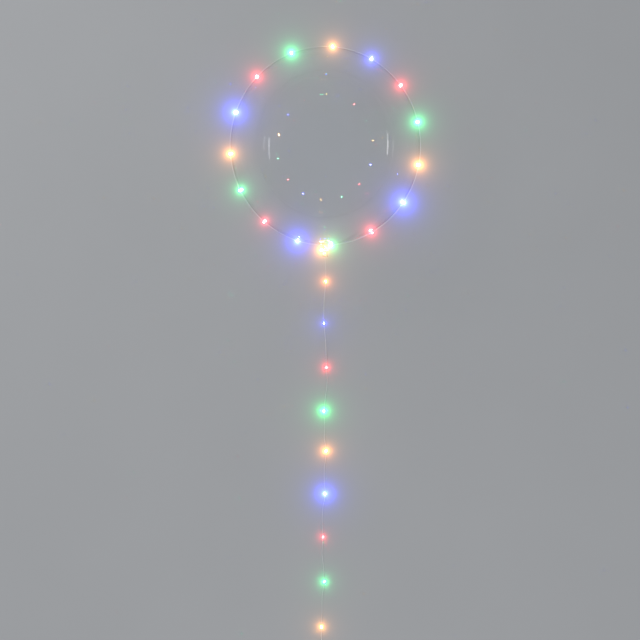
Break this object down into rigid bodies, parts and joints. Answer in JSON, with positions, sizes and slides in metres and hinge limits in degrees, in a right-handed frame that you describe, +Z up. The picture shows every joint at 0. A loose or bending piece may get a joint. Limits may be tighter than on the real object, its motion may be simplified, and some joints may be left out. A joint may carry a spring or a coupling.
{
  "type": "clear bubble balloon with a light string",
  "caption": "Round clear film balloon lying on a small flat spot, ringed by a string of coloured lights that trails from its neck to a coil and a battery box.",
  "frame": {"origin": "middle of the small flat spot under the ball", "axes": "+Z up, -Y along the neck's axis towards the trailing wire, +X across the ring of lights"},
  "size_m": [0.4356, 1.4794, 0.4268],
  "materials": {
    "film": "clear stretched film, glossy",
    "wire": "fine silvery lacquered wire",
    "light_amber": "clear resin drop round a lit amber chip",
    "light_blue": "clear resin drop round a lit blue chip",
    "light_red": "clear resin drop round a lit red chip",
    "light_green": "clear resin drop round a lit green chip",
    "tie": "plain white plastic band",
    "box": "fine-grained moulded white plastic",
    "screw": "plain steel"
  },
  "bodies": {
    "root": {"balloon": "film", "neck_wire_turns": "wire", "light_wire_ring": "wire", "light_ring_01_green": "light_green", "light_ring_02_red": "light_red", "light_ring_03_blue": "light_blue", "light_ring_04_amber": "light_amber", "light_ring_05_green": "light_green", "light_ring_06_red": "light_red", "light_ring_07_blue": "light_blue", "light_ring_08_amber": "light_amber", "light_ring_09_green": "light_green", "light_ring_10_red": "light_red", "light_ring_11_blue": "light_blue", "light_ring_12_amber": "light_amber", "light_ring_13_green": "light_green", "light_ring_14_red": "light_red", "light_ring_15_blue": "light_blue", "light_ring_16_amber": "light_amber", "light_wire_trail": "wire", "light_trail_1_amber": "light_amber", "light_trail_2_blue": "light_blue", "light_trail_3_red": "light_red", "light_trail_4_green": "light_green", "light_trail_5_amber": "light_amber", "light_trail_6_blue": "light_blue", "light_trail_7_red": "light_red", "light_trail_8_green": "light_green", "light_trail_9_amber": "light_amber", "light_wire_coil": "wire", "coil_tie": "tie", "light_wire_lead": "wire", "battery_box_case": "box", "battery_box_lid": "box", "battery_box_screw": "screw"}
  },
  "joints": []
}
